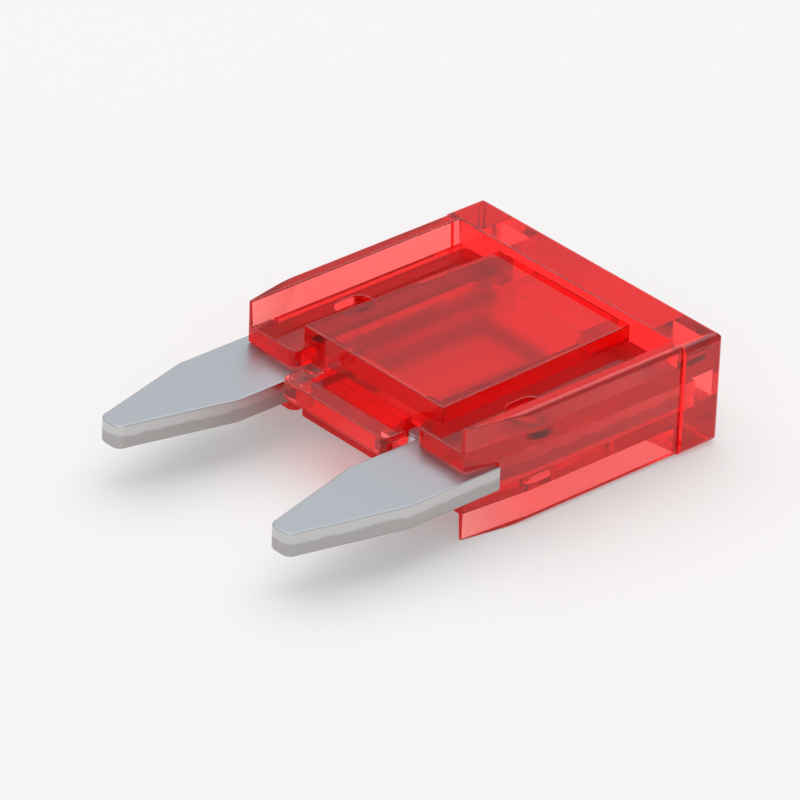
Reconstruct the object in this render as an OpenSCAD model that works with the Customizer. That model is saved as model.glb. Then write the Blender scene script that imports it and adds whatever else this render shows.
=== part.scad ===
// Automotive blade fuse, mini size, lying on its flat face.
// X runs across the two blades, +Y points from the blade tips to the cap, +Z is up.
// Origin: centre of the bounding box, at its bottom.

/* [Overall] */
// Width of the cap, across both blades
cap_w = 10.9; // [10.7:0.1:11.5]
// Length from the cap's end face to the blade tips
overall_l = 16.3; // [15.5:0.1:18]
// Thickness of the housing, face to face
housing_t = 3.8; // [3.6:0.1:4.4]
// Length of the housing from the cap's end face to the ends of the wings
body_l = 10; // [9.4:0.1:10.4]

/* [Cap] */
// Length of the cap along the fuse
cap_l = 1.55; // [1.3:0.05:2]
// Radius of the cap's end corners, seen from above
cap_corner_r = 0.2; // [0.1:0.05:0.5]
// Radius of the cap's four long edges, seen from its end
cap_long_r = 0.3; // [0.2:0.05:0.6]
// Radius of the cap's end edges, seen from the side
cap_edge_r = 0.25; // [0.1:0.05:0.6]
// Length of a test opening, across the fuse
test_w = 1.3; // [0.8:0.1:1.6]
// Height of a test opening
test_h = 0.9; // [0.6:0.1:1.4]
// Depth of a test opening, down to the metal
test_depth = 0.95; // [0.6:0.05:1.4]

/* [Wings] */
// How far each wing's side lies inside the cap's side
wing_inset = 0.12; // [0.05:0.01:0.2]
// Depth of the channels below the cap's face
channel_d = 0.85; // [0.6:0.01:0.95]
// Width of a rail along its top
rail_top_w = 0.52; // [0.45:0.01:0.56]
// Width of a rail at the channel's floor
rail_foot_w = 0.58; // [0.56:0.01:0.7]
// Radius of a rail's outer edge
rail_r = 0.2; // [0.1:0.05:0.3]
// Length of the corner cut at each wing's end
wing_cut_l = 2.3; // [1.5:0.05:2.6]
// Width of the corner cut at each wing's end
wing_cut_w = 0.42; // [0.3:0.01:0.5]
// How far the wings' ends stand back from the blades' inner edges
wing_setback = 0.25; // [0.1:0.05:0.5]
// Radius of the inner corner of each wing's end
wing_corner_r = 0.3; // [0.1:0.05:0.5]
// Thickness of the side walls outside the blade slots
side_wall = 0.42; // [0.35:0.01:0.5]

/* [Centre block] */
// How far the block's face lies below the cap's face
block_step = 0.3; // [0.1:0.05:0.4]
// Width of each channel beside the block, at the cap
channel_w = 1.8; // [1.5:0.02:2]
// How much wider the block is at its lower end, on each side
block_flare = 0.2; // [0:0.05:0.3]
// How far the block stops short of the wing ends
block_setback = 0.7; // [0.5:0.05:1]
// Thickness between the chamber and the block's side
chamber_wall = 0.55; // [0.5:0.05:0.8]
// Height of the link chamber
chamber_h = 1.5; // [1.2:0.1:1.8]
// Thickness between the link chamber and the cap's lower face
chamber_end = 1.1; // [0.8:0.05:1.4]
// Radius of the link chamber's upper corners
chamber_r = 0.6; // [0.2:0.1:1]
// Length of the sill below the link chamber
sill_l = 0.55; // [0.4:0.05:0.7]

/* [Tongue] */
// How far the tongue reaches past the block's lower end
tongue_l = 1.6; // [1.3:0.05:2]
// Thickness of the tongue
tongue_t = 0.65; // [0.4:0.05:0.8]
// Radius of the notch beside the neck
notch_r = 0.5; // [0.4:0.05:0.6]
// Radius of the tongue's lower corners
tongue_r = 0.3; // [0.1:0.05:0.5]

/* [Blades] */
// Thickness of the sheet that the element is stamped from
blade_t = 0.8; // [0.7:0.05:0.9]
// Width of a blade
blade_w = 2.8; // [2.7:0.05:2.9]
// How far the blades' outer edges lie inside the cap's side
blade_inset = 0.15; // [0.1:0.01:0.25]
// Width of a blade's tip
tip_w = 1; // [0.8:0.1:1.6]
// Radius of the tip's corners
tip_r = 0.35; // [0.1:0.05:0.4]
// Length over which a blade narrows to its tip
taper_l = 3.9; // [3:0.1:4.5]

/* [Element inside the housing] */
// Height of the blade's outer shoulder above the wing ends
shoulder_up = 1.15; // [0.9:0.05:1.4]
// Height of the inner lug's lower edge above the wing ends
lug_up = 0.3; // [0.2:0.05:0.4]
// Radius of the lug's lower corner
lug_r = 0.25; // [0.1:0.05:0.3]
// How far a lug reaches in from its blade's inner edge
lug_w = 0.55; // [0.4:0.05:0.8]
// Cut across each upper corner of a carrier
carrier_cut = 0.4; // [0.2:0.1:0.8]
// Free space beside the fuse link, to the chamber's sides
link_side_gap = 0.65; // [0.5:0.05:0.9]
// Width of the link's strip
link_strip = 0.52; // [0.3:0.02:0.7]
// Thickness of the coined link
link_t = 0.3; // [0.2:0.05:0.35]
// Outer radius of the link's upper corners
link_r = 0.8; // [0.6:0.1:1.2]
// Free space between the link's top and the chamber's end
link_top_gap = 0.6; // [0.3:0.05:1.2]
// Free space between the sill and the link's feet
link_foot_gap = 0.35; // [0.2:0.05:0.6]

/* [Staking] */
// Distance of the stakes below the cap's lower face
stake_down = 5.1; // [4:0.05:6]
// Radius of the stake hole in a carrier
stake_hole_r = 0.55; // [0.4:0.05:0.6]
// Width of the dimple that the staking tool leaves
dimple_w = 0.8; // [0.6:0.05:1]
// Length of the dimple
dimple_l = 1.3; // [1.1:0.05:1.8]
// Depth of the dimple
dimple_d = 0.3; // [0.1:0.05:0.4]

/* [Fits] */
// Clearance all round the element in its slots
slot_gap = 0.06; // [0.03:0.01:0.1]
// Clearance between a stake and its hole
stake_gap = 0.05; // [0.02:0.01:0.08]
// Clearance beside the tongue, to the blades and the lugs
tongue_gap = 0.15; // [0.1:0.01:0.2]

/* [Hidden] */
$fn = 48;
// How far a cutting body runs past the face that it cuts
over = 0.5;

y_end = overall_l / 2;
y_tip = -overall_l / 2;
y_cap = y_end - cap_l;
y_wing = y_end - body_l;
y_block = y_wing + block_setback;
y_sill = y_block + sill_l;
y_chamber = y_cap - chamber_end;
y_shoulder = y_wing + shoulder_up;
y_lug = y_wing + lug_up;
y_carrier = y_end - test_depth;
y_foot = y_sill + link_foot_gap;
y_link = y_chamber - link_top_gap;
y_tongue = y_block - tongue_l;
y_stake = y_cap - stake_down;

z_mid = housing_t / 2;
z_blade = z_mid - blade_t / 2;
z_tongue = z_blade + link_t + tongue_gap;

wing_x = cap_w / 2 - wing_inset;
carrier_x = wing_x - side_wall - slot_gap;
blade_out = cap_w / 2 - blade_inset;
blade_x = blade_out - blade_w / 2;
blade_in = blade_out - blade_w;
block_x = wing_x - rail_foot_w - channel_w;
chamber_x = block_x - chamber_wall;
link_x = chamber_x - link_side_gap;
lug_x = blade_in - lug_w;
neck_x = lug_x - tongue_gap;
tongue_x = blade_in - tongue_gap;

// Its children and their mirror image across the fuse's middle
module both_sides() {
    children();
    mirror([1, 0, 0]) children();
}

// A slab of the given plan, from z = low up to z = high
module slab(low, high) {
    translate([0, 0, low]) linear_extrude(height = high - low) children();
}

// A rectangle from x = left to right and y = low to high with its two upper corners rounded
module round_top(left, right, low, high, r) {
    translate([left, low]) square([right - left, high - low - r]);
    translate([left + r, low]) square([right - left - 2 * r, high - low]);
    translate([left + r, high - r]) circle(r);
    translate([right - r, high - r]) circle(r);
}

// Cap, rounded in plan at its end corners, from the side at its end and from its end all round
module cap() {
    intersection() {
        slab(0, housing_t) round_top(-cap_w / 2, cap_w / 2, y_cap, y_end, cap_corner_r);
        translate([-cap_w / 2, 0, 0]) rotate([90, 0, 90]) linear_extrude(height = cap_w)
            cap_side();
        translate([0, y_end, 0]) rotate([90, 0, 0]) linear_extrude(height = cap_l)
            cap_end();
    }
}

// End view of the cap, with X to the right and Z up
module cap_end() {
    low = cap_long_r;
    high = housing_t - cap_long_r;
    translate([-cap_w / 2, low]) square([cap_w, high - low]);
    translate([low - cap_w / 2, 0]) square([cap_w - 2 * cap_long_r, housing_t]);
    for (x = [low - cap_w / 2, cap_w / 2 - low], z = [low, high])
        translate([x, z]) circle(cap_long_r);
}

// Side view of the cap, with Y to the right and Z up
module cap_side() {
    translate([y_cap, 0]) square([cap_l - cap_edge_r, housing_t]);
    translate([y_cap, cap_edge_r]) square([cap_l, housing_t - 2 * cap_edge_r]);
    for (z = [cap_edge_r, housing_t - cap_edge_r])
        translate([y_end - cap_edge_r, z]) circle(cap_edge_r);
}

// Plan of one wing from the middle of the fuse outwards, with its corner cut and its inner corner
module wing_plan() {
    inner = blade_in + wing_setback;
    polygon([
        [0, y_cap + over],
        [0, y_block],
        [inner, y_block],
        [inner, y_wing + wing_corner_r],
        [inner + wing_corner_r, y_wing],
        [wing_x - wing_cut_w, y_wing],
        [wing_x, y_wing + wing_cut_l],
        [wing_x, y_cap + over]
    ]);
    translate([inner + wing_corner_r, y_wing + wing_corner_r]) circle(wing_corner_r);
}

// Cross-section of one wing: the plate between the two channels and the rail at its side
module wing_section() {
    polygon([
        [0, channel_d],
        [wing_x - rail_foot_w, channel_d],
        [wing_x - rail_top_w, 0],
        [wing_x - rail_r, 0],
        [wing_x, rail_r],
        [wing_x, housing_t - rail_r],
        [wing_x - rail_r, housing_t],
        [wing_x - rail_top_w, housing_t],
        [wing_x - rail_foot_w, housing_t - channel_d],
        [0, housing_t - channel_d]
    ]);
    for (z = [rail_r, housing_t - rail_r])
        translate([wing_x - rail_r, z]) circle(rail_r);
}

module wing() {
    intersection() {
        slab(0, housing_t) wing_plan();
        translate([0, y_cap + over, 0]) rotate([90, 0, 0])
            linear_extrude(height = body_l) wing_section();
    }
}

// Raised block over the link chamber, a little wider at its lower end
module block() {
    slab(block_step, housing_t - block_step) polygon([
        [-block_x, y_cap + over],
        [block_x, y_cap + over],
        [block_x, y_cap],
        [block_x + block_flare, y_block],
        [-block_x - block_flare, y_block],
        [-block_x, y_cap]
    ]);
}

// Tongue between the blades, with a rounded notch on each side of its neck
module tongue() {
    slab(z_tongue, z_tongue + tongue_t) difference() {
        mirror([0, 1]) round_top(-tongue_x, tongue_x, -y_sill, -y_tongue, tongue_r);
        both_sides() {
            translate([neck_x + notch_r, y_wing + notch_r]) circle(notch_r);
            translate([neck_x, y_wing + notch_r]) square([notch_r + over, y_sill - y_wing]);
        }
    }
}

// Chamber that the fuse link stands in, and the mouth that it goes in by behind the tongue
module chamber() {
    slab(z_mid - chamber_h / 2, z_mid + chamber_h / 2)
        round_top(-chamber_x, chamber_x, y_sill, y_chamber, chamber_r);
    slab(z_blade - slot_gap, z_tongue)
        translate([-lug_x, y_wing - over]) square([2 * lug_x, y_sill - y_wing + 2 * over]);
}

// Slot for one blade's carrier, open at the wing's end and at its side below the shoulder
module blade_slot() {
    slab(z_blade - slot_gap, z_blade + blade_t + slot_gap) {
        translate([neck_x, y_wing - over])
            square([carrier_x + slot_gap - neck_x, y_carrier + slot_gap - y_wing + over]);
        translate([neck_x, y_wing - over])
            square([wing_x + over - neck_x, y_shoulder + slot_gap - y_wing + over]);
    }
}

// Opening in the cap's end through which a test probe reaches the carrier
module test_opening() {
    translate([blade_x - test_w / 2, y_carrier, z_mid - test_h / 2])
        cube([test_w, test_depth + over, test_h]);
}

// Dimple of the staking tool in the floor of one channel, seen from above
module dimple_plan() {
    run = dimple_l - dimple_w;
    translate([blade_x - dimple_w / 2, y_stake - run / 2]) square([dimple_w, run]);
    for (y = [-run / 2, run / 2])
        translate([blade_x, y_stake + y]) circle(dimple_w / 2);
}

module dimples() {
    slab(channel_d - over, channel_d + dimple_d) dimple_plan();
    slab(housing_t - channel_d - dimple_d, housing_t - channel_d + over) dimple_plan();
}

// Stake of housing plastic that fills the hole in one carrier
module stake() {
    translate([blade_x, y_stake, z_blade - 2 * slot_gap])
        cylinder(r = stake_hole_r - stake_gap, h = blade_t + 4 * slot_gap);
}

module housing() {
    color([0.86, 0.08, 0.1, 0.8]) {
        difference() {
            union() {
                cap();
                both_sides() wing();
                block();
                tongue();
            }
            chamber();
            both_sides() {
                blade_slot();
                test_opening();
                dimples();
            }
        }
        both_sides() stake();
    }
}

// Plan of one blade with its tapered, rounded tip
module blade_plan() {
    tip_in = blade_x - tip_w / 2;
    tip_out = blade_x + tip_w / 2;
    polygon([
        [blade_in, y_lug],
        [blade_in, y_tip + taper_l],
        [tip_in, y_tip + tip_r],
        [tip_in + tip_r, y_tip],
        [tip_out - tip_r, y_tip],
        [tip_out, y_tip + tip_r],
        [blade_out, y_tip + taper_l],
        [blade_out, y_shoulder],
        [blade_in, y_shoulder]
    ]);
    for (x = [tip_in + tip_r, tip_out - tip_r])
        translate([x, y_tip + tip_r]) circle(tip_r);
}

// Plan of one carrier: it rises from the blade to the test opening, with the link's lug inside it
module carrier_plan() {
    y_lug_top = y_foot + link_strip;
    difference() {
        union() {
            polygon([
                [blade_in, y_lug],
                [carrier_x, y_lug],
                [carrier_x, y_carrier - carrier_cut],
                [carrier_x - carrier_cut, y_carrier],
                [blade_in + carrier_cut, y_carrier],
                [blade_in, y_carrier - carrier_cut]
            ]);
            polygon([
                [lug_x, y_lug_top],
                [lug_x, y_lug + lug_r],
                [lug_x + lug_r, y_lug],
                [blade_x, y_lug],
                [blade_x, y_lug_top]
            ]);
            translate([lug_x + lug_r, y_lug + lug_r]) circle(lug_r);
        }
        translate([blade_x, y_stake]) circle(stake_hole_r);
    }
}

// Plan of the fuse link: an arch whose feet turn outwards to the lugs
module link_plan() {
    inner = link_x - link_strip;
    difference() {
        round_top(-link_x, link_x, y_foot, y_link, link_r);
        round_top(-inner, inner, y_foot - over, y_link - link_strip, link_r - link_strip);
    }
    both_sides() translate([inner, y_foot]) square([blade_x - inner, link_strip]);
}

module fuse_element() {
    color([0.72, 0.74, 0.76]) {
        slab(z_blade, z_blade + blade_t) both_sides() {
            blade_plan();
            carrier_plan();
        }
        slab(z_blade, z_blade + link_t) link_plan();
    }
}

housing();
fuse_element();
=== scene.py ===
import math
import bmesh
import bpy
from mathutils import Matrix, Vector


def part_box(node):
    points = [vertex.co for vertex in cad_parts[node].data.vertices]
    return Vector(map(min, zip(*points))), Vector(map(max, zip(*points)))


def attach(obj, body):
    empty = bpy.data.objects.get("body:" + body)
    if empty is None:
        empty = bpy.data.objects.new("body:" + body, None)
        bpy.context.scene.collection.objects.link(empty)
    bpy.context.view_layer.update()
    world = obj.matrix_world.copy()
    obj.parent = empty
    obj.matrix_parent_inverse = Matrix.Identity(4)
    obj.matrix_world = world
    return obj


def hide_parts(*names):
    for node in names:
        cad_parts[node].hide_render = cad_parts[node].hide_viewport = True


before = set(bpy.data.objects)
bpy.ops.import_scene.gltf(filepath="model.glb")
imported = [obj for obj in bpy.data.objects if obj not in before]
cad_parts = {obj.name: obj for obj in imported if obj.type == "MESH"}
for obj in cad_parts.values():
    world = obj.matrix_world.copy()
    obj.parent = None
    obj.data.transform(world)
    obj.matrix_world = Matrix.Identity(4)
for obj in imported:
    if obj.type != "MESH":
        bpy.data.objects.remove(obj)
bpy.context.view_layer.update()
mm = 0.001
print("frame loaded:", sorted(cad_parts))

scene = bpy.context.scene
scene.view_settings.view_transform = "Standard"
scene.cycles.max_bounces = 24          # clear plastic keeps light inside for many bounces
scene.cycles.glossy_bounces = 16
scene.cycles.transmission_bounces = 20


# small helpers for node trees

def newMaterial(name):
    material = bpy.data.materials.new(name)
    material.use_nodes = True
    material.node_tree.nodes.clear()
    return material, material.node_tree


def addNode(tree, kind, **settings):
    node = tree.nodes.new(kind)
    for key, value in settings.items():
        setattr(node, key, value)
    return node


def setInputs(node, **values):
    for key, value in values.items():
        node.inputs[key.replace("_", " ")].default_value = value


# links a socket to an input, or sets the input to a plain value
def feed(tree, value, target):
    if isinstance(value, bpy.types.NodeSocket):
        tree.links.new(value, target)
    else:
        target.default_value = value


def maths(tree, operation, *values):
    node = addNode(tree, "ShaderNodeMath", operation=operation)
    for value, target in zip(values, node.inputs):
        feed(tree, value, target)
    return node.outputs["Value"]


def splitAxes(tree, vector):
    node = addNode(tree, "ShaderNodeSeparateXYZ")
    feed(tree, vector, node.inputs["Vector"])
    return node.outputs


# a noise on Object coordinates, stretched by one scale for each axis
def stretchedNoise(tree, coords, scale, detail=3.0, roughness=0.5):
    mapping = addNode(tree, "ShaderNodeMapping")
    setInputs(mapping, Scale=scale)
    feed(tree, coords, mapping.inputs["Vector"])
    noise = addNode(tree, "ShaderNodeTexNoise")
    setInputs(noise, Scale=1.0, Detail=detail, Roughness=roughness)
    feed(tree, mapping.outputs["Vector"], noise.inputs["Vector"])
    return noise.outputs["Fac"]


# moves a value from one range to another, both given as (first, last)
def remap(tree, value, old, new):
    node = addNode(tree, "ShaderNodeMapRange")
    setInputs(node, From_Min=old[0], From_Max=old[1], To_Min=new[0], To_Max=new[1])
    feed(tree, value, node.inputs["Value"])
    return node.outputs["Result"]


# a mix of two values or two sockets, of kind FLOAT or RGBA
def blend(tree, kind, factor, first, second):
    node = addNode(tree, "ShaderNodeMix", data_type=kind)
    feed(tree, factor, node.inputs["Factor"])
    feed(tree, first, node.inputs["A"])
    feed(tree, second, node.inputs["B"])
    return node.outputs["Result"]


# a bump of some strength and depth, over another bump if one is given
def addBump(tree, height, strength, depth, under=None):
    node = addNode(tree, "ShaderNodeBump")
    setInputs(node, Strength=strength, Distance=depth)
    feed(tree, height, node.inputs["Height"])
    if under is not None:
        feed(tree, under, node.inputs["Normal"])
    return node.outputs["Normal"]


# 1 where each coordinate is within half of the centre, and 0 outside that box
def insideBox(tree, coords, centre, half):
    place = splitAxes(tree, coords)
    within = [maths(tree, "COMPARE", place[axis], centre[axis], half[axis]) for axis in range(3)]
    return maths(tree, "MULTIPLY", maths(tree, "MULTIPLY", within[0], within[1]), within[2])


# red polycarbonate

plastic = {
    "tint": (1.0, 0.37, 0.34, 1.0),     # what each surface lets through
    "clear": 0.985,                     # the rest scatters at the surface
    "absorb": (0.966, 0.0, 0.05, 1.0),  # colour of the absorption
    "density": 1500.0,                  # absorption per metre
    "ior": 1.585,
    "rough": (0.03, 0.10),              # polished outer faces, in soft clouds
    "cloudScale": (900, 500, 900),
    "cloudRange": (0.35, 0.7),          # of the noise, spread over the roughness
    "innerRough": 0.26,                 # unpolished walls of the chamber and the slots
    "innerCentre": (0.0, 3.4 * mm, 1.9 * mm),
    "innerHalf": (4.93 * mm, 4.4 * mm, 0.85 * mm),
    "sinkScale": (260, 160, 260),       # slight sink of the thick walls
    "sinkBump": (0.5, 0.02 * mm),       # strength and depth
    "flowScale": (2600, 90, 2600),      # flow lines along the fuse
    "flowBump": (0.3, 0.003 * mm),
}


def redPlastic():
    material, tree = newMaterial("redPolycarbonate")
    output = addNode(tree, "ShaderNodeOutputMaterial")
    shader = addNode(tree, "ShaderNodeBsdfPrincipled")
    setInputs(shader, Base_Color=plastic["tint"], Transmission_Weight=plastic["clear"])
    setInputs(shader, IOR=plastic["ior"])
    coords = addNode(tree, "ShaderNodeTexCoord").outputs["Object"]

    cloud = stretchedNoise(tree, coords, plastic["cloudScale"])
    polished = remap(tree, cloud, plastic["cloudRange"], plastic["rough"])
    inner = insideBox(tree, coords, plastic["innerCentre"], plastic["innerHalf"])
    rough = blend(tree, "FLOAT", inner, polished, plastic["innerRough"])
    feed(tree, rough, shader.inputs["Roughness"])

    wave = stretchedNoise(tree, coords, plastic["sinkScale"], detail=1.0)
    streaks = stretchedNoise(tree, coords, plastic["flowScale"], detail=2.0)
    sink = addBump(tree, wave, *plastic["sinkBump"])
    flow = addBump(tree, streaks, *plastic["flowBump"], under=sink)
    feed(tree, flow, shader.inputs["Normal"])

    volume = addNode(tree, "ShaderNodeVolumeAbsorption")
    setInputs(volume, Color=plastic["absorb"], Density=plastic["density"])
    feed(tree, shader.outputs["BSDF"], output.inputs["Surface"])
    feed(tree, volume.outputs["Volume"], output.inputs["Volume"])
    return material


# zinc alloy sheet

zinc = {
    "face": (0.42, 0.44, 0.47, 1.0),    # dull with a thin oxide
    "shorn": (0.70, 0.70, 0.70, 1.0),   # upper part of a cut side, polished by the punch
    "torn": (0.56, 0.55, 0.54, 1.0),    # lower part of a cut side, where the sheet broke away
    "sideTurn": (0.9, 0.4),             # upward share of the normal, from a face to a cut side
    "tearHeight": 1.94 * mm,
    "tearWander": 0.10 * mm,
    "tearBlur": 0.05 * mm,
    "wanderScale": (1500, 1500, 10),
    "noiseRange": (0.3, 0.7),           # of each noise, spread over what it drives
    "faceRough": (0.40, 0.48),
    "speckleScale": (5000, 2500, 5000),
    "shornRough": 0.30,
    "tornRough": 0.50,
    "grainScale": (9000, 700, 9000),    # along the blades
    "scoreScale": (7000, 7000, 500),    # down the cut sides
    "bump": (0.3, 0.005 * mm),          # strength and depth
}


# 1 on the sides that the punch cut, and 0 on the rolled faces
def cutSides(tree):
    normal = splitAxes(tree, addNode(tree, "ShaderNodeNewGeometry").outputs["Normal"])
    upright = maths(tree, "ABSOLUTE", normal["Z"])
    return remap(tree, upright, zinc["sideTurn"], (0.0, 1.0))


# 0 above and 1 below the wandering line where the punch's cut turned into a tear
def tornPart(tree, coords):
    wander = stretchedNoise(tree, coords, zinc["wanderScale"], detail=2.0)
    lowest = zinc["tearHeight"] - zinc["tearWander"] / 2
    highest = zinc["tearHeight"] + zinc["tearWander"] / 2
    line = remap(tree, wander, zinc["noiseRange"], (lowest, highest))
    above = maths(tree, "SUBTRACT", splitAxes(tree, coords)["Z"], line)
    return remap(tree, above, (zinc["tearBlur"], -zinc["tearBlur"]), (0.0, 1.0))


def zincSheet():
    material, tree = newMaterial("zincAlloy")
    output = addNode(tree, "ShaderNodeOutputMaterial")
    shader = addNode(tree, "ShaderNodeBsdfPrincipled")
    setInputs(shader, Metallic=1.0)
    coords = addNode(tree, "ShaderNodeTexCoord").outputs["Object"]
    side = cutSides(tree)
    torn = tornPart(tree, coords)

    cutColour = blend(tree, "RGBA", torn, zinc["shorn"], zinc["torn"])
    colour = blend(tree, "RGBA", side, zinc["face"], cutColour)
    feed(tree, colour, shader.inputs["Base Color"])

    speckle = stretchedNoise(tree, coords, zinc["speckleScale"], detail=2.0)
    faceRough = remap(tree, speckle, zinc["noiseRange"], zinc["faceRough"])
    cutRough = blend(tree, "FLOAT", torn, zinc["shornRough"], zinc["tornRough"])
    rough = blend(tree, "FLOAT", side, faceRough, cutRough)
    feed(tree, rough, shader.inputs["Roughness"])

    grain = stretchedNoise(tree, coords, zinc["grainScale"], detail=4.0, roughness=0.6)
    scoring = stretchedNoise(tree, coords, zinc["scoreScale"], detail=2.0)
    bump = addBump(tree, blend(tree, "FLOAT", side, grain, scoring), *zinc["bump"])
    feed(tree, bump, shader.inputs["Normal"])
    feed(tree, shader.outputs["BSDF"], output.inputs["Surface"])
    return material


# pieces made from welded copies of the CAD meshes, with their edges rounded

rounding = {
    "weld": 1e-4 * mm,                 # corners nearer than this become one
    "flush": math.radians(0.5),        # faces that turn less than this are joined
    "corner": math.radians(30),        # edges that turn more than this are rounded
    "segments": 2,
    "profile": 0.5,                    # a round arc
    "sliver": 2e-4 * mm,               # edges shorter than this are closed up
    "mostSides": 4,                    # faces with more sides are cut into triangles
}

shading = {
    "flat": math.radians(0.6),         # faces that turn less than this are one flat region
    "sharp": math.radians(50),         # edges that turn more than this stay sharp
    "strip": 1e-6,                     # how little a rounded edge sways the flat beside it
}


# the area of the flat region that each face belongs to
def flatAreas(shape):
    areas = {}
    for seed in shape.faces:
        if seed in areas:
            continue
        region = [seed]
        areas[seed] = 0.0
        for face in region:            # the list grows as its neighbours are found
            for other in (near for edge in face.edges for near in edge.link_faces):
                if other not in areas and face.normal.angle(other.normal) < shading["flat"]:
                    areas[other] = 0.0
                    region.append(other)
        whole = sum(face.calc_area() for face in region)
        for face in region:
            areas[face] = whole
    return areas


# the faces round a corner that are reached from its own without crossing a sharp edge
def smoothFan(corner):
    fan = [corner.face]
    for face in fan:
        for edge in face.edges:
            if corner.vert in edge.verts and edge.smooth:
                fan.extend(other for other in edge.link_faces if other not in fan)
    return fan


# corner normals that hold each flat region flat, and turn over the faces marked smooth
def cornerNormals(shape):
    for edge in shape.edges:
        edge.smooth = edge.calc_face_angle(0) < shading["sharp"]
    weights = flatAreas(shape)
    for face in shape.faces:
        if face.smooth:
            weights[face] *= shading["strip"]
    normals = []
    for face in shape.faces:
        for corner in face.loops:
            total = Vector()
            for other in smoothFan(corner):
                total += other.normal * weights[other]
            normals.append(total.normalized())
    return normals


# a welded copy of a CAD node, with the wanted corners rounded by width
def roundedCopy(node, name, width, wanted):
    piece = bpy.data.objects.new(name, bpy.data.meshes.new(name))
    scene.collection.objects.link(piece)
    shape = bmesh.new()
    shape.from_mesh(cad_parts[node].data)
    bmesh.ops.remove_doubles(shape, verts=shape.verts, dist=rounding["weld"])
    bmesh.ops.dissolve_limit(shape, angle_limit=rounding["flush"], verts=shape.verts, edges=shape.edges)
    corners = [edge for edge in shape.edges if edge.calc_face_angle_signed(0) > rounding["corner"]]
    for face in shape.faces:
        face.smooth = False
    rounded = bmesh.ops.bevel(shape, geom=[edge for edge in corners if wanted(edge)], offset=width,
                              offset_type="OFFSET", segments=rounding["segments"],
                              profile=rounding["profile"], affect="EDGES", clamp_overlap=False)
    for face in rounded["faces"]:
        face.smooth = True             # marks the rounded edges until the normals are made
    bmesh.ops.dissolve_degenerate(shape, dist=rounding["sliver"], edges=shape.edges)
    manySided = [face for face in shape.faces if len(face.verts) > rounding["mostSides"]]
    bmesh.ops.triangulate(shape, faces=manySided)
    shape.normal_update()
    normals = cornerNormals(shape)
    for face in shape.faces:
        face.smooth = True
    shape.to_mesh(piece.data)
    shape.free()
    piece.data.normals_split_custom_set(normals)
    return piece


housingLow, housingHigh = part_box("housing")

housingEdges = {
    "width": 0.045 * mm,               # of the rounding
    "innerHalf": 0.85 * mm,            # the chamber and the slots lie this near half height,
    "innerSide": 0.3 * mm,             # this far in from the sides
    "innerFront": 1.2 * mm,            # and this far behind the front of the tongue
    "capLength": 1.55 * mm,
    "stepSide": 0.4 * mm,              # the step from the cap lies this near the sides
    "near": 0.01 * mm,                 # an edge this close to the step's plane is on it
}


# true for the housing's outer edges, and false for those of its chamber and slots, and
# for the step from the cap to each wing, which runs out to nothing at its top and bottom
def outerEdge(edge):
    point = (edge.verts[0].co + edge.verts[1].co) / 2
    nearMiddle = abs(point.z - housingHigh.z / 2) < housingEdges["innerHalf"]
    behindFront = point.y > housingLow.y + housingEdges["innerFront"]
    inside = abs(point.x) < housingHigh.x - housingEdges["innerSide"] and behindFront
    capFront = housingHigh.y - housingEdges["capLength"]
    atSide = abs(point.x) > housingHigh.x - housingEdges["stepSide"]
    onStep = abs(point.y - capFront) < housingEdges["near"] and atSide
    return not (nearMiddle and inside or onStep)


housing = roundedCopy("housing", "redHousing", housingEdges["width"], outerEdge)
housing.data.materials.append(redPlastic())
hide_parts("housing")
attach(housing, "root")
print("housing:", len(housing.data.polygons), "faces")

elementEdges = {"width": 0.05 * mm}    # of the rounding, on every corner

element = roundedCopy("fuse_element", "zincElement", elementEdges["width"], lambda edge: True)
element.data.materials.append(zincSheet())
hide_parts("fuse_element")
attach(element, "root")
print("element:", len(element.data.polygons), "faces")


# floor, light and camera

room = {
    "floorColour": (0.63, 0.61, 0.60, 1.0),
    "floorGlow": 0.30,                  # keeps the floor pale
    "floorMirrored": 0.14,              # the same where it's mirrored
    "floorThrough": 0.80,               # and where it shows through the plastic
    "floorSize": 0.6,
    "floorDrop": 0.02 * mm,             # just clear of the fuse's flat face
    "skyColour": (0.94, 0.97, 1.0, 1.0),
    "skyLight": 0.42,                   # on the fuse and the floor
    "skyMirrored": 0.46,                # in the metal and the gloss
    "skyThrough": 1.0,                  # seen through the plastic
}

rayOffOn = (0.0, 1.0)                   # what Light Path gives for a kind of ray


def floorPaper():
    material, tree = newMaterial("paleFloor")
    output = addNode(tree, "ShaderNodeOutputMaterial")
    paper = addNode(tree, "ShaderNodeBsdfDiffuse")
    setInputs(paper, Color=room["floorColour"])
    rays = addNode(tree, "ShaderNodeLightPath").outputs
    direct = remap(tree, rays["Is Camera Ray"], rayOffOn, (0.0, room["floorGlow"]))
    mirrored = remap(tree, rays["Is Glossy Ray"], rayOffOn, (0.0, room["floorMirrored"]))
    through = remap(tree, rays["Is Transmission Ray"], rayOffOn, (0.0, room["floorThrough"]))
    strength = maths(tree, "MAXIMUM", maths(tree, "MAXIMUM", direct, mirrored), through)
    glow = addNode(tree, "ShaderNodeEmission")
    feed(tree, strength, glow.inputs["Strength"])
    both = addNode(tree, "ShaderNodeAddShader")
    feed(tree, paper.outputs["BSDF"], both.inputs[0])
    feed(tree, glow.outputs["Emission"], both.inputs[1])
    feed(tree, both.outputs["Shader"], output.inputs["Surface"])
    return material


def makeFloor():
    half = room["floorSize"] / 2
    height = -room["floorDrop"]
    corners = [(x, y, height) for x, y in ((-half, -half), (half, -half), (half, half), (-half, half))]
    mesh = bpy.data.meshes.new("floor")
    mesh.from_pydata(corners, [], [(0, 1, 2, 3)])
    floor = bpy.data.objects.new("floor", mesh)
    floor.data.materials.append(floorPaper())
    scene.collection.objects.link(floor)


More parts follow.
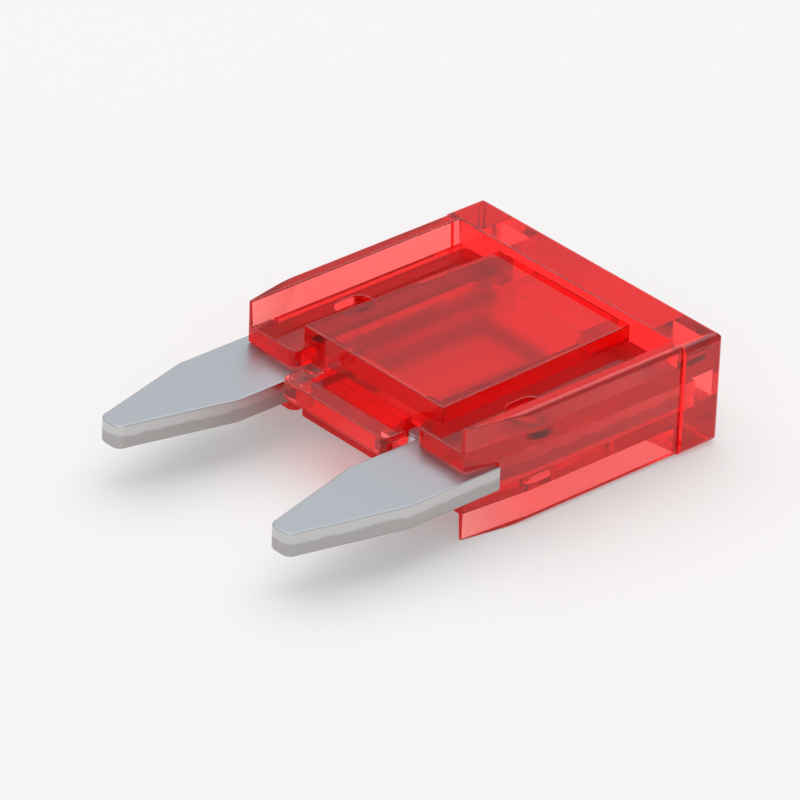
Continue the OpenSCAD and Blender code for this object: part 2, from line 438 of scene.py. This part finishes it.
def makeSky():
    world = bpy.data.worlds.new("sky")
    scene.world = world
    world.use_nodes = True
    tree = world.node_tree
    tree.nodes.clear()
    output = addNode(tree, "ShaderNodeOutputWorld")
    sky = addNode(tree, "ShaderNodeBackground")
    setInputs(sky, Color=room["skyColour"])
    rays = addNode(tree, "ShaderNodeLightPath").outputs
    plain = remap(tree, rays["Is Glossy Ray"], rayOffOn, (room["skyLight"], room["skyMirrored"]))
    through = remap(tree, rays["Is Transmission Ray"], rayOffOn, (0.0, room["skyThrough"]))
    feed(tree, maths(tree, "MAXIMUM", plain, through), sky.inputs["Strength"])
    feed(tree, sky.outputs["Background"], output.inputs["Surface"])


# metres and watts; each lamp is a disk that faces the fuse
lamps = {
    "overheadLamp": {"place": (-0.12, 0.08, 0.50), "size": 0.90, "power": 2.7},
    "fillLamp": {"place": (0.36, -0.33, 0.27), "size": 0.50, "power": 0.40},
}


def softLamp(name, place, size, power):
    light = bpy.data.lights.new(name, "AREA")
    light.shape = "DISK"
    light.size = size
    light.energy = power
    lamp = bpy.data.objects.new(name, light)
    lamp.location = place
    lamp.rotation_euler = (-Vector(place)).to_track_quat("-Z", "Y").to_euler()
    scene.collection.objects.link(lamp)


view = {
    "eye": (132.0, -120.7, 106.6),     # mm
    "aim": (0.0, 0.0, 1.9),            # mm
    "roll": math.radians(2.16),
    "lens": 310.0,                     # mm
    "sensor": 36.0,                    # mm
    "clip": (0.01, 5.0),               # metres
}


def makeCamera():
    camera = bpy.data.objects.new("camera", bpy.data.cameras.new("camera"))
    scene.collection.objects.link(camera)
    eye = Vector(view["eye"]) * mm
    toFuse = (Vector(view["aim"]) * mm - eye).normalized()
    facing = toFuse.to_track_quat("-Z", "Y").to_matrix()
    camera.location = eye
    camera.rotation_mode = "QUATERNION"
    camera.rotation_quaternion = (facing @ Matrix.Rotation(view["roll"], 3, "Z")).to_quaternion()
    camera.data.lens = view["lens"]
    camera.data.sensor_width = view["sensor"]
    camera.data.clip_start, camera.data.clip_end = view["clip"]
    scene.camera = camera


makeFloor()
makeSky()
for name, lamp in lamps.items():
    softLamp(name, **lamp)
makeCamera()
print("floor, light and camera ready")
